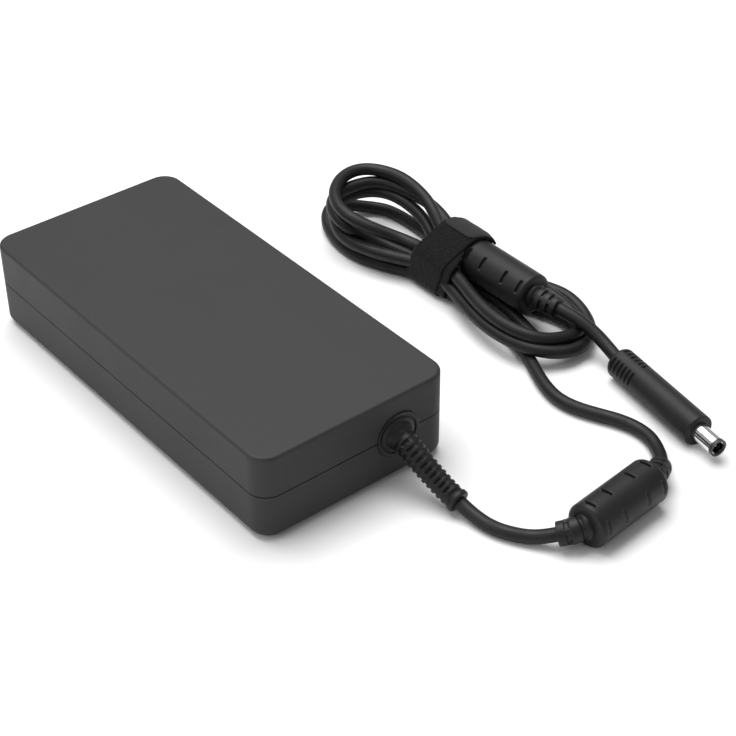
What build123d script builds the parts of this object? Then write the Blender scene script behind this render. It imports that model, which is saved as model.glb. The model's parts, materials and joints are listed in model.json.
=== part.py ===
from build123d import *
import math
import os

# Laptop power adapter: a two-part case with the converter inside, a mains inlet at the +Y end,
# and at the -Y end a low-voltage cord with two suppression beads, tied into a hank, and a barrel plug.
# Origin: centre of the case on the surface that its feet stand on. +Z up, +Y towards the inlet.

# ---- driving dimensions, mm ----
LENGTH = 188.0            # case, along Y
WIDTH = 88.0              # case, along X
TOP_Z = 38.8              # top of the case above the table
FOOT_GAP = 0.8            # height that the feet lift the case
WALL = 2.0                # case wall
CORNER_R = 8.3            # upright corners of the case
TOP_EDGE_R = 1.5          # edge round the top face
BASE_EDGE_R = 3.8         # edge round the underside
PARTING_Z = 20.8          # line where the two covers meet
SEAM = 0.3                # visible gap at that line
LIP = 0.9                 # thickness of the locating lip inside the seam
LIP_RISE = 1.6            # its height above the parting line
FIT = 0.1                 # clearance of pieces that drop together

CORD_D = 5.6              # low-voltage cord
EXIT_X = 19.0             # where the cord leaves the -Y end
COLLAR_R = 9.9            # strain relief collar in the end wall
RELIEF_ROOT_R = 5.3       # strain relief at the case
RELIEF_TIP_R = 4.9        # and at its free end
RELIEF_RIBS = 11
BEAD_D = 18.0             # moulded cover of a suppression bead
BEAD_LENGTH = 37.6
FERRITE_D = 14.2
FERRITE_BORE = 6.6
FERRITE_LENGTH = 28.0
PLUG_D = 13.2
BARREL_D = 7.4
BARREL_BORE = 5.0
STRAP_WIDTH = 20.0
STRAP_T = 1.6             # two layers of hook and loop tape
TAB_T = 1.0               # free end of the tape
TAB_GAP = 0.15            # between the free end and the band
NECK_ROOM = 5.4           # radius kept clear round the tail where it crosses the hank
RIB_DEPTH = 1.0           # slots between the ribs of the moulded sleeves

BOARD_Z = 8.2             # underside of the circuit board
BOARD_T = 1.6
BOARD_TOP = BOARD_Z + BOARD_T
SHEET_T = 0.4             # insulation sheets
SHIELD_T = 1.0            # aluminium heat spreaders
FLOOR_Z = FOOT_GAP + WALL
CEILING_Z = TOP_Z - WALL
UPPER_SHIELD_Z = CEILING_Z - SHEET_T - SHIELD_T

# ---- cord route, the centre line from the case to the plug ----
LEAD = [
    (EXIT_X, -88.0, PARTING_Z), (EXIT_X, -96.5, 20.2), (19.6, -104.6, 15.9), (21.0, -111.8, 11.2),
    (22.4, -118.8, 7.2), (23.4, -126.2, 4.6), (23.9, -133.6, 3.2), (25.1, -141.0, 2.8),
    (28.2, -148.0, 2.9), (32.6, -154.6, 3.4), (38.4, -161.4, 6.4), (46.5, -166.7, 8.9),
    (63.0, -165.2, 9.0), (80.0, -163.3, 9.0), (89.5, -160.8, 7.8), (97.4, -155.9, 4.6),
    (103.4, -149.0, 2.8), (107.2, -141.0, 2.9), (107.6, -132.5, 2.8), (105.1, -124.5, 2.9),
    (101.3, -116.8, 2.8), (97.7, -108.8, 2.9), (96.4, -100.0, 2.8), (98.2, -91.2, 2.9),
    (101.5, -83.0, 2.8), (105.2, -75.0, 2.9), (108.6, -66.5, 2.8),
]
BEAD_1_ENDS = ((46.3, -166.8, 9.0), (83.7, -162.9, 9.0))
BEAD_2_ENDS = ((124.3, -18.4, 17.0), (124.3, -56.0, 17.0))
TAIL = [
    (124.3, -2.0, 17.1), (124.3, -14.0, 17.0), (124.45, -31.0, 17.0), (124.3, -49.0, 17.0),
    (125.0, -60.0, 16.6), (127.3, -69.5, 15.6), (129.8, -78.0, 13.6), (131.3, -86.0, 10.7),
    (131.0, -94.0, 7.9), (129.6, -101.0, 6.7), (128.2, -108.4, 6.6),
]
PLUG_REAR = (129.3, -101.5, 6.6)
PLUG_FRONT = (120.9, -152.7, 6.6)

# ---- strap and hank ----
# Circles (x, z, radius) whose hull is the space inside the strap.
STRAP_CORE = ((124.3, 17.0, 9.25), (111.4, 5.4, 3.8), (113.0, 15.0, 4.6), (133.0, 6.2, 4.6))
STRAP_BASE_Y = -3.0       # middle of the strap at table height
STRAP_LEAN = -0.27        # shift along Y per mm of height
TAB_ANGLES = (21.0, 106.0) # where the free end of the tape lies, about the first circle


def save(node, shape):
    """Write one node, a solid or a group of solids, as a STEP file."""
    shape.label = node
    export_step(shape, f"parts/{node}.step")


def group(solids):
    """Several separate solids that share one node."""
    return Compound(children=list(solids))


def block(size, centre, z):
    """A box of a given size, centred in X and Y, standing on the height z."""
    return Pos(centre[0], centre[1], z) * Box(*size, align=(Align.CENTER, Align.CENTER, Align.MIN))


def post(radius, height, centre, z):
    """An upright cylinder standing on the height z."""
    return Pos(centre[0], centre[1], z) * Cylinder(radius, height, align=(Align.CENTER, Align.CENTER, Align.MIN))


def frame_at(point, direction):
    """A plane at a point whose normal is the direction."""
    return Plane(origin=point, z_dir=direction)


def rod(start, end, radius):
    """A cylinder from one point to another."""
    along = Vector(*end) - Vector(*start)
    return extrude(frame_at(start, along) * Circle(radius), along.length)


def tube(start, end, outer, inner):
    """A hollow cylinder from one point to another."""
    along = Vector(*end) - Vector(*start)
    return extrude(frame_at(start, along) * (Circle(outer) - Circle(inner)), along.length)


def between(start, end, distance):
    """The point at a distance from start on the way to end."""
    along = Vector(*end) - Vector(*start)
    point = Vector(*start) + along.normalized() * distance
    return (point.X, point.Y, point.Z)


# ---- cords ----
def bend_radii(points):
    """The radius of each bend: as large as its two runs allow."""
    radii = []
    for before, corner, after in zip(points, points[1:], points[2:]):
        run_in = Vector(*corner) - Vector(*before)
        run_out = Vector(*after) - Vector(*corner)
        turn = math.radians(run_in.get_angle(run_out))
        radii.append(0.45 * min(run_in.length, run_out.length) / math.tan(turn / 2))
    return radii


def route(points):
    """Straight runs joined by tangent arcs."""
    return FilletPolyline(*points, radius=bend_radii(points))


def swept(points, radius):
    """A round cord along a route."""
    path = route(points)
    section = Plane(origin=path @ 0, z_dir=path % 0) * Circle(radius)
    return sweep(section, path=path)


def report_cord(name, points):
    """Print the bend radii and compare the tube's volume with section times length."""
    path = route(points)
    volume = swept(points, CORD_D / 2).volume
    ideal = math.pi * (CORD_D / 2) ** 2 * path.length
    print(name, "length", round(path.length, 1), "volume ratio", round(volume / ideal, 4))
    print("  radii", [round(r, 1) for r in bend_radii(points)])


def neck(points, first, last, count, root_r, tip_r, thickness):
    """Ribbed sleeve round a cord's route, between two distances along it."""
    path = route(points)
    part = path.trim(min(first, last) / path.length, max(first, last) / path.length)
    section = Plane(origin=part @ 0, z_dir=part % 0) * Circle(min(root_r, tip_r) - RIB_DEPTH)
    sleeve = sweep(section, path=part)
    for i in range(count):
        share = (i + 0.5) / count
        place = (first + (last - first) * share) / path.length
        middle = Plane(origin=path @ place, z_dir=path % place)
        ring = Circle(root_r + (tip_r - root_r) * share)
        sleeve += extrude(middle * ring, thickness / 2, both=True)
    return sleeve


# ---- case ----
def case_block(inset, low, high):
    """The case's outline, moved in by an inset, between two heights."""
    outline = RectangleRounded(WIDTH - 2 * inset, LENGTH - 2 * inset, CORNER_R - inset)
    return extrude(Plane.XY.offset(low) * outline, high - low)


def case_skin():
    """The whole outer body with its rounded edges."""
    body = case_block(0, FOOT_GAP, TOP_Z)
    body = fillet(body.faces().sort_by(Axis.Z)[-1].edges(), TOP_EDGE_R)
    return fillet(body.faces().sort_by(Axis.Z)[0].edges(), BASE_EDGE_R)


INLET_W = 28.2            # mains inlet housing
INLET_H = 20.4
INLET_DEPTH = 21.0
INLET_Z = 19.8
FLANGE = 2.0              # catch flange inside the end wall


def end_openings():
    """Holes in the end walls for the mains inlet and the cord's collar."""
    inlet = Pos(0, LENGTH / 2, INLET_Z) * Box(INLET_W + FIT * 2, 4 * WALL, INLET_H + FIT * 2)
    collar = rod((EXIT_X, -LENGTH / 2 - 1, PARTING_Z), (EXIT_X, -LENGTH / 2 + 2 * WALL, PARTING_Z), COLLAR_R + FIT)
    return inlet + collar


BOSSES = [(x, y) for x in (-33.0, 33.0) for y in (-78.0, 56.0)]
FEET = [(x, y) for x in (-32.0, 32.0) for y in (-80.0, 80.0)]
FOOT_R = 5.0
FOOT_RECESS = 0.8
LABEL = (60.0, 110.0, 0.15)


def bottom_cover():
    """Lower half of the case, with a locating lip, board bosses and recesses for feet and label."""
    shell = case_skin() - case_block(WALL, FLOOR_Z, TOP_Z)
    shell -= case_block(-1, PARTING_Z - SEAM / 2, TOP_Z + 1)
    lip = case_block(WALL - LIP, PARTING_Z - 4, PARTING_Z + LIP_RISE)
    lip -= case_block(WALL, PARTING_Z - 5, PARTING_Z + LIP_RISE + 1)
    shell += lip
    for x, y in BOSSES:
        shell += post(3.4, BOARD_Z - FLOOR_Z, (x, y), FLOOR_Z)
        shell -= post(1.2, BOARD_Z - FLOOR_Z + 1, (x, y), FLOOR_Z + 1)
    for x, y in FEET:
        shell -= post(FOOT_R + FIT, FOOT_RECESS, (x, y), FOOT_GAP)
    shell -= block((LABEL[0] + 0.4, LABEL[1] + 0.4, LABEL[2]), (0, 0), FOOT_GAP)
    return shell - end_openings()


def top_cover():
    """Upper half of the case, rebated for the lip."""
    shell = case_skin() - case_block(WALL, FLOOR_Z, CEILING_Z)
    shell -= case_block(-1, 0, PARTING_Z + SEAM / 2)
    shell -= case_block(WALL - LIP - FIT, 0, PARTING_Z + LIP_RISE + FIT)
    return shell - end_openings()


def rubber_feet():
    """Four round rubber feet let into the underside."""
    return group(post(FOOT_R, FOOT_GAP + FOOT_RECESS, place, 0) for place in FEET)


def rating_label():
    """Blank label in its recess."""
    return block(LABEL, (0, 0), FOOT_GAP)


# ---- mains inlet ----
SOCKET_W = 24.4           # socket of the standard three-pin appliance inlet
SOCKET_H = 16.4
SOCKET_DEPTH = 17.0
PIN_PITCH = 7.0
PIN_DROP = 2.0
PIN_SIZE = (2.0, 14.5, 4.0)
PIN_TAB = 6.0             # length of the solder tab behind the housing


def ac_inlet_housing():
    """Moulded inlet with a socket that has two cut corners."""
    face_y = LENGTH / 2
    body = Pos(0, face_y - INLET_DEPTH / 2, INLET_Z) * Box(INLET_W, INLET_DEPTH, INLET_H)
    flange = Pos(0, face_y - WALL - FLANGE / 2, INLET_Z) * Box(INLET_W + 5, FLANGE, INLET_H + 5)
    outline = Rectangle(SOCKET_W, SOCKET_H)
    outline = chamfer(outline.vertices().group_by(Axis.Y)[-1], 4.4)
    mouth = Plane(origin=(0, face_y, INLET_Z), x_dir=(-1, 0, 0), z_dir=(0, 1, 0))
    socket = extrude(mouth * outline, -SOCKET_DEPTH)
    shell = fillet(body.edges().filter_by(Axis.Y), 1.2) + flange
    for x, z in pin_places():
        shell -= Pos(x, face_y - INLET_DEPTH, z) * Box(PIN_SIZE[0], INLET_DEPTH, PIN_SIZE[2])
    return shell - socket


def pin_places():
    """X and Z of the line, neutral and earth pins."""
    low = INLET_Z - PIN_DROP
    return [(-PIN_PITCH, low), (PIN_PITCH, low), (0, low + 2 * PIN_DROP)]


def inlet_pin(place):
    """Flat blade that stands in the socket and ends in a tab behind the housing."""
    front = LENGTH / 2 - SOCKET_DEPTH + PIN_SIZE[1]
    back = LENGTH / 2 - INLET_DEPTH - PIN_TAB
    blade = Pos(place[0], (front + back) / 2, place[1]) * Box(PIN_SIZE[0], front - back, PIN_SIZE[2])
    return chamfer(blade.faces().sort_by(Axis.Y)[-1].edges(), 0.5)


# ---- circuit board and its parts ----
BOARD = (76.0, 146.0)
BOARD_Y = -11.0


def main_board():
    """Circuit board with screw holes."""
    board = block((BOARD[0], BOARD[1], BOARD_T), (0, BOARD_Y), BOARD_Z)
    for place in BOSSES:
        board -= post(1.7, BOARD_T, place, BOARD_Z)
    return board


def board_screw(place):
    """Pan-head screw with a cross recess."""
    body = post(2.8, 1.8, place, BOARD_TOP)
    body = fillet(body.faces().sort_by(Axis.Z)[-1].edges(), 0.7)
    for spin in (0, 90):
        body -= Pos(place[0], place[1], BOARD_TOP + 1.8) * Rot(0, 0, spin) * Box(3.0, 0.8, 1.8)
    return body + post(1.15, 5.0, place, BOARD_TOP - 5.0)


def board_screws():
    """Four screws that hold the board to the bosses."""
    return group(board_screw(place) for place in BOSSES)


# Ring chokes: centre, outer radius, inner radius, height.
CM_CHOKE = ((-21.0, 44.0), 11.0, 6.2, 9.0)
OUT_CHOKE = ((4.0, -72.5), 9.0, 4.6, 9.0)
CHOKE_WIRE = 1.3


def ring(choke, grow):
    """A flat ring, grown all round by the thickness of its wire."""
    centre, outer, inner, height = choke
    z = BOARD_TOP + CHOKE_WIRE - grow
    high = height + 2 * grow
    return post(outer + grow, high, centre, z) - post(inner - grow, high, centre, z)


def choke_core(choke):
    """Ring core, held off the board by its winding."""
    return ring(choke, 0)


def choke_winding(choke, spans):
    """Wire wound round parts of a ring core, as sleeves one wire thick."""
    centre, outer = choke[0], choke[1]
    sleeve = ring(choke, CHOKE_WIRE) - ring(choke, 0)
    coils = []
    for start, angle in spans:
        corners = [(0, 0)]
        for i in range(5):
            turn = math.radians(start + angle * i / 4)
            corners.append((2 * outer * math.cos(turn), 2 * outer * math.sin(turn)))
        wedge = Pos(centre[0], centre[1], BOARD_TOP) * extrude(Polygon(*corners, align=None), 2 * outer)
        coils += (sleeve & wedge).solids()
    return group(coils)


def fuse():
    """Ceramic cartridge fuse with end caps."""
    z = BOARD_TOP + 3.0
    body = rod((8.0, 50.0, z), (8.0, 30.0, z), 2.4)
    for y in (50.0, 36.0):
        body += rod((8.0, y, z), (8.0, y - 6.0, z), 3.0)
    return body


def standing_disc(centre, radius, thickness):
    """Disc-shaped part on its edge, with a flat foot on the board."""
    z = BOARD_TOP + radius
    disc = rod((centre[0] - thickness / 2, centre[1], z), (centre[0] + thickness / 2, centre[1], z), radius)
    disc = fillet(disc.edges(), thickness * 0.3)
    return disc + block((thickness * 0.5, radius, 1.5), centre, BOARD_TOP)


def varistor():
    """Surge absorber across the mains."""
    return standing_disc((-2.5, 44.0), 5.5, 4.0)


def x_capacitor():
    """Boxed film capacitor across the mains."""
    body = block((13.0, 26.0, 20.0), (23.0, 42.0), BOARD_TOP)
    return fillet(body.edges(), 0.8)


def y_capacitors():
    """Two small safety capacitors."""
    return group(standing_disc(place, 4.2, 3.6) for place in ((3.0, 25.0), (10.0, 23.5)))


def bridge_rectifier():
    """Flat bridge rectifier with a screw hole and one bevelled corner."""
    body = block((4.6, 22.0, 19.0), (-34.5, 20.0), BOARD_TOP)
    body = chamfer(body.edges().filter_by(Axis.X).sort_by(Axis.Z)[-1], 3.0)
    return body - rod((-40, 20.0, BOARD_TOP + 13), (-30, 20.0, BOARD_TOP + 13), 1.7)


CHOKE_X, CHOKE_Y = -18.0, 15.0


def input_choke_core():
    """Boxed ferrite core with a centre leg."""
    core = block((24.0, 26.0, 22.0), (CHOKE_X, CHOKE_Y), BOARD_TOP)
    core = fillet(core.edges().filter_by(Axis.Z), 1.0)
    core -= block((25.0, 19.0, 14.0), (CHOKE_X, CHOKE_Y), BOARD_TOP + 4.0)
    return core + block((8.0, 9.0, 14.0), (CHOKE_X, CHOKE_Y), BOARD_TOP + 4.0)


def input_choke_winding():
    """Winding round the centre leg."""
    coil = block((21.0, 18.4, 13.2), (CHOKE_X, CHOKE_Y), BOARD_TOP + 4.4)
    coil = fillet(coil.edges().filter_by(Axis.Z), 3.0)
    return coil - block((8.6, 9.6, 20.0), (CHOKE_X, CHOKE_Y), BOARD_TOP)


def can(start, end, radius):
    """Aluminium capacitor can with a rolled groove near its base."""
    body = fillet(rod(start, end, radius).edges(), 0.8)
    return body - tube(between(start, end, 2.4), between(start, end, 3.2), radius + 1, radius - 0.5)


BULK_CAN_R = 9.0
OUTPUT_CANS = [(19.0, -41.0), (19.0, -52.5), (20.0, -64.5), (8.0, -46.5), (8.5, -57.3)]


def bulk_capacitors():
    """Two high-voltage capacitors lying side by side."""
    z = BOARD_TOP + BULK_CAN_R
    return group(can((-3.0, y, z), (-37.0, y, z), BULK_CAN_R) for y in (-8.5, -27.5))


def output_capacitors():
    """Five upright low-voltage capacitors."""
    return group(can((x, y, BOARD_TOP), (x, y, BOARD_TOP + 20.0), 5.0) for x, y in OUTPUT_CANS)


# Heatsinks: x, y, length, side that carries the transistors, places of those transistors.
PRIMARY_SINK = (6.0, -17.0, 46.0, 1, (-33.0, -17.0, -1.0))
SECONDARY_SINK = (33.0, -55.0, 38.0, -1, (-64.0, -46.0))
SINK_T = 2.4
SINK_H = 22.5
TAB_THICKNESS = 1.3
DEVICE_HOLE_Z = BOARD_TOP + 17.0


def heatsink(sink):
    """Upright aluminium plate with a foot bent away from its transistors, drilled for their screws."""
    x, y, length, side, devices = sink
    plate = block((SINK_T, length, SINK_H), (x, y), BOARD_TOP)
    plate += block((6.0, length, 2.0), (x - side * 1.8, y), BOARD_TOP)
    for place in devices:
        plate -= rod((x - 5, place, DEVICE_HOLE_Z), (x + 5, place, DEVICE_HOLE_Z), 1.5)
    return plate


def transistor(sink, y):
    """Power transistor: metal tab against the heatsink, moulded body and three leads."""
    x, side = sink[0], sink[3]
    tab_x = x + side * (SINK_T + TAB_THICKNESS) / 2
    body_x = x + side * (SINK_T / 2 + 2.2)
    piece = block((TAB_THICKNESS, 10.0, 15.5), (tab_x, y), BOARD_TOP + 5.0)
    piece += block((4.4, 10.0, 9.0), (body_x, y), BOARD_TOP + 4.5)
    for shift in (-2.5, 0, 2.5):
        piece += block((0.6, 0.9, 5.0), (body_x, y + shift), BOARD_TOP)
    return piece - rod((tab_x - 2, y, DEVICE_HOLE_Z), (tab_x + 2, y, DEVICE_HOLE_Z), 1.6)


def transistors(sink):
    """All the transistors of one heatsink."""
    return group(transistor(sink, y) for y in sink[4])


def sink_screw(sink, y):
    """Screw through a transistor's tab into the heatsink."""
    side = sink[3]
    face = sink[0] + side * (SINK_T / 2 + TAB_THICKNESS)
    head = rod((face, y, DEVICE_HOLE_Z), (face + side * 1.6, y, DEVICE_HOLE_Z), 2.6)
    return head + rod((face, y, DEVICE_HOLE_Z), (face - side * 4.1, y, DEVICE_HOLE_Z), 1.4)


def heatsink_screws():
    """The five transistor screws."""
    return group(sink_screw(sink, y) for sink in (PRIMARY_SINK, SECONDARY_SINK) for y in sink[4])


def thermal_pads():
    """Soft pads from the heatsinks to the upper insulation sheet."""
    base = BOARD_TOP + SINK_H
    top = UPPER_SHIELD_Z
    return group(block((6.0, sink[2] - 4, top - base), (sink[0], sink[1]), base)
                 for sink in (PRIMARY_SINK, SECONDARY_SINK))


TRAFO = (25.5, -17.0)
TRAFO_Z = BOARD_TOP + 11.5


def transformer_core():
    """Ferrite core with two windows beside its centre leg."""
    core = block((24.0, 32.0, 14.0), TRAFO, TRAFO_Z - 7)
    for side in (-1, 1):
        core -= block((5.0, 22.0, 15.0), (TRAFO[0] + side * 5.5, TRAFO[1]), TRAFO_Z - 7.5)
    return core


def transformer_bobbin():
    """Bobbin on the centre leg, standing on its two end flanges."""
    body = block((8.4, 21.8, 16.4), TRAFO, TRAFO_Z - 8.2)
    for side in (-1, 1):
        body += block((15.8, 1.2, 23.0), (TRAFO[0], TRAFO[1] + side * 10.3), TRAFO_Z - 11.5)
    return body - block((6.2, 30.0, 14.2), TRAFO, TRAFO_Z - 7.1)


def transformer_winding():
    """Winding between the bobbin's flanges."""
    coil = block((15.4, 19.2, 22.0), TRAFO, TRAFO_Z - 11)
    coil = fillet(coil.edges().filter_by(Axis.Y), 2.5)
    return coil - block((8.4, 30.0, 16.4), TRAFO, TRAFO_Z - 8.2)


CONTROL = (-20.0, -44.0)


def control_board():
    """Small upright circuit board."""
    return block((30.0, 1.2, 16.0), CONTROL, BOARD_TOP)


def control_chips():
    """Two integrated circuits on the control board."""
    return group(block((6.0, 1.7, 4.0), (CONTROL[0] + shift, CONTROL[1] - 1.45), BOARD_TOP + 6)
                 for shift in (-7.0, 6.0))


def optocouplers():
    """Two optocouplers across the safety gap."""
    return group(block((6.6, 4.6, 3.8), (-14.0, y), BOARD_TOP) for y in (-58.0, -66.0))


SPREADER = (79.0, 170.0)


def plate(size, z, thickness):
    """A thin plate that fills the case, with rounded corners."""
    return extrude(Plane.XY.offset(z) * RectangleRounded(*size, 4.0), thickness)


def lower_plate(size, z, thickness):
    """A plate under the board, with holes for the bosses."""
    sheet = plate(size, z, thickness)
    for place in BOSSES:
        sheet -= post(3.7, thickness, place, z)
    return sheet


# ---- wires ----
def wire(points, radius):
    """Insulated wire with small bends."""
    path = FilletPolyline(*points, radius=3.0)
    return sweep(Plane(origin=path @ 0, z_dir=path % 0) * Circle(radius), path=path)


def ac_wire(pin, y):
    """Wire from an inlet pin's tab down to the board."""
    x, z = pin
    tab_y = LENGTH / 2 - INLET_DEPTH - PIN_TAB
    return wire(((x, tab_y, z), (x, y, z), (x, y, BOARD_TOP)), 1.1)


def dc_wire(x, y, z, radius):
    """Conductor from just inside the inner end of the cord down to the board."""
    start_y = LEAD[0][1] + 0.3
    return wire(((x, start_y, z), (x, y, z), (x, y, BOARD_TOP)), radius)


# ---- pieces on the cord ----
RELIEF_END = 40.5         # distance along the lead to the end of the strain relief


def distance_to(points, place):
    """Distance along a route to its nearest place to a point."""
    path = route(points)
    steps = 2000
    target = Vector(*place)
    nearest = min(range(steps + 1), key=lambda i: (path @ (i / steps) - target).length)
    return nearest / steps * path.length


def dc_strain_relief():
    """Collar held in the end wall and a ribbed sleeve that bends with the cord."""
    face = -LENGTH / 2
    collar = rod((EXIT_X, face - 0.6, PARTING_Z), (EXIT_X, face + WALL, PARTING_Z), COLLAR_R)
    collar = fillet(collar.faces().sort_by(Axis.Y)[0].edges(), 0.4)
    flange = rod((EXIT_X, face + WALL, PARTING_Z), (EXIT_X, face + 2 * WALL, PARTING_Z), COLLAR_R + 2)
    groove_y = face - 0.6
    groove = tube((EXIT_X, groove_y, PARTING_Z), (EXIT_X, groove_y + 0.4, PARTING_Z), 8.2, 7.6)
    sleeve = neck(LEAD, 4.0, RELIEF_END, RELIEF_RIBS, RELIEF_ROOT_R, RELIEF_TIP_R, 2.1)
    return collar - groove + flange + sleeve - swept(LEAD, CORD_D / 2)


def bead_cover(points, ends, necks):
    """Moulded cover: round-ended barrel, four short notches on top, ribbed necks, hollow for the ferrite."""
    start, end = ends
    barrel = fillet(rod(start, end, BEAD_D / 2).edges(), 2.2)
    along = (Vector(*end) - Vector(*start)).normalized()
    for distance in (3.0, 12.1, 25.4, 34.5):
        place = between(start, end, distance)
        top = Plane(origin=(place[0], place[1], place[2] + BEAD_D / 2), x_dir=along, z_dir=(0, 0, 1))
        barrel -= top * Box(1.0, 6.0, 1.0)
    first = distance_to(points, start)
    last = distance_to(points, end)
    for at, direction, length in ((first, -1, necks[0]), (last, 1, necks[1])):
        barrel += neck(points, at - direction * 2, at + direction * length, 4, 5.0, 4.1, 1.9)
    middle = BEAD_LENGTH / 2
    half = FERRITE_LENGTH / 2
    barrel -= rod(between(start, end, middle - half), between(start, end, middle + half), FERRITE_D / 2)
    return barrel - swept(points, CORD_D / 2)


def bead_core(ends):
    """Ferrite tube inside a bead's cover."""
    start, end = ends
    middle = BEAD_LENGTH / 2
    half = FERRITE_LENGTH / 2
    low = between(start, end, middle - half)
    high = between(start, end, middle + half)
    return tube(low, high, FERRITE_D / 2, FERRITE_BORE / 2)


# ---- plug ----
BARREL_OUT = 12.3         # barrel beyond the body, with its black tip ring
BARREL_IN = 7.0           # barrel inside the body
TIP_RING = 1.5
SLOT_PLACES = (2.2, 4.6, 7.0, 9.4, 11.8, 14.2)
PLUG_BODY = (Vector(*PLUG_FRONT) - Vector(*PLUG_REAR)).length


def on_plug(distance):
    """The point on the plug's axis at a distance from the rear of its body."""
    return between(PLUG_REAR, PLUG_FRONT, distance)


def plug_body():
    """Moulded grip with rows of slots near the cord."""
    body = rod(PLUG_REAR, PLUG_FRONT, PLUG_D / 2)
    along = Vector(*PLUG_FRONT) - Vector(*PLUG_REAR)
    rims = body.edges().sort_by(lambda edge: (edge.center() - Vector(*PLUG_REAR)).length)
    body = fillet(rims[0], 2.0)
    rims = body.edges().sort_by(lambda edge: (edge.center() - Vector(*PLUG_FRONT)).length)
    body = fillet(rims[0], 0.5)
    for distance in SLOT_PLACES:
        slot = tube(on_plug(distance), on_plug(distance + 1.1), PLUG_D / 2 + 1, PLUG_D / 2 - 1.0)
        webs = frame_at(on_plug(distance + 0.55), along) * Rot(0, 0, 45) * (Box(3.0, 20, 4) + Box(20, 3.0, 4))
        body -= slot - webs
    body -= rod(on_plug(PLUG_BODY - BARREL_IN), on_plug(PLUG_BODY + 1), BARREL_D / 2 - 0.2)
    return body - swept(TAIL, CORD_D / 2)


def plug_tube(start, end, outer, inner):
    """A tube on the plug's axis between two distances from the front of the body."""
    return tube(on_plug(PLUG_BODY + start), on_plug(PLUG_BODY + end), outer, inner)


def plug_barrel():
    """Plated outer contact, thinner where it is held in the body."""
    held = plug_tube(-BARREL_IN, 0, BARREL_D / 2 - 0.2, BARREL_D / 2 - 0.4)
    return held + plug_tube(0, BARREL_OUT - TIP_RING, BARREL_D / 2, BARREL_D / 2 - 0.4)


def plug_insulator():
    """Insulating liner with the black ring at the tip and a base for the centre pin."""
    liner = plug_tube(-BARREL_IN, BARREL_OUT, BARREL_D / 2 - 0.4, BARREL_BORE / 2 + 0.4)
    liner += plug_tube(BARREL_OUT - TIP_RING, BARREL_OUT, BARREL_D / 2, BARREL_BORE / 2 + 0.4)
    return liner + plug_tube(-BARREL_IN, -BARREL_IN + 3, BARREL_BORE / 2 + 0.4, 0.5)


def plug_inner_sleeve():
    """Plated inner contact."""
    return plug_tube(-BARREL_IN + 3, BARREL_OUT - 0.6, BARREL_BORE / 2 + 0.4, BARREL_BORE / 2)


def plug_centre_pin():
    """Thin signal pin."""
    return rod(on_plug(PLUG_BODY - BARREL_IN), on_plug(PLUG_BODY + BARREL_OUT - 2), 0.5)


# ---- strap and hank ----
def hull_section(grow):
    """Hull of the strap's circles in the XZ plane, grown outwards."""
    circles = Sketch() + [Pos(x, z) * Circle(r + grow) for x, z, r in STRAP_CORE]
    return make_hull(circles.edges())


def along_y(sketch, low, high):
    """Extrude a sketch drawn in X and Z between two places along Y."""
    standing = Plane(origin=(0, high, 0), x_dir=(1, 0, 0), z_dir=(0, -1, 0)) * sketch
    return extrude(standing, high - low, dir=(0, -1, 0))


def prism(corners):
    """A block that runs along X, wide enough for the hank, from an outline in Y and Z."""
    return extrude(Plane.YZ.offset(80.0) * Polygon(*corners, align=None), 80.0, dir=(1, 0, 0))


def strap_slab(half_width):
    """The leaning slab that the strap's edges lie on."""
    low, high = -10.0, 60.0
    corners = []
    for z, side in ((low, -1), (low, 1), (high, 1), (high, -1)):
        corners.append((STRAP_BASE_Y + STRAP_LEAN * z + side * half_width, z))
    return prism(corners)


def strap_band():
    """Two layers of hook and loop tape round the hank."""
    ring_section = hull_section(STRAP_T) - hull_section(0)
    return along_y(ring_section, -45, 35) & strap_slab(STRAP_WIDTH / 2)


def tab_pivot():
    """Point where the free end of the tape starts to peel."""
    x, z, r = STRAP_CORE[0]
    turn = math.radians(TAB_ANGLES[0])
    middle = r + STRAP_T + TAB_GAP + TAB_T / 2
    return (x + middle * math.cos(turn), z + middle * math.sin(turn))


def strap_tab():
    """Free end of the tape, lying over the top of the band."""
    x, z, r = STRAP_CORE[0]
    inner = r + STRAP_T + TAB_GAP
    arc = Circle(inner + TAB_T) - Circle(inner)
    corners = [(0, 0)]
    for i in range(5):
        turn = math.radians(TAB_ANGLES[0] + (TAB_ANGLES[1] - TAB_ANGLES[0]) * i / 4)
        corners.append((30 * math.cos(turn), 30 * math.sin(turn)))
    arc = Pos(x, z) * (arc & Polygon(*corners, align=None))
    return along_y(arc, -45, 35) & strap_slab(STRAP_WIDTH / 2 - 1)


def lobe(circles, profile):
    """One end of the hank: the hull of some circles on the table, topped by a side profile."""
    outline = make_hull((Sketch() + [Pos(x, y) * Circle(r) for x, y, r in circles]).edges())
    return extrude(outline, 40, dir=(0, 0, 1)) & prism(profile)


CLEAR = 0.3
FAR_LOBE = [(120.5, 4.0, 12.5), (118.0, 42.0, 22.3)]
FAR_PROFILE = [(-9, 0), (-9, 20), (12, 20.5), (40, 26), (48, 27.3), (60, 27.3), (65, 22), (65, 0)]
FLOOR_LOBE = [(120.5, 4.0, 12.0), (117.0, 52.0, 20.0)]
FLOOR_PROFILE = [(-9, 0), (-9, 5.6), (74, 5.6), (74, 0)]
NEAR_LOBE = [(121.0, -20.0, 11.5), (123.5, -62.0, 23.2)]
NEAR_PROFILE = [(8, 0), (8, 16.3), (-60, 16.3), (-72, 12.5), (-82, 9.5), (-86, 6), (-86, 0)]


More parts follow.
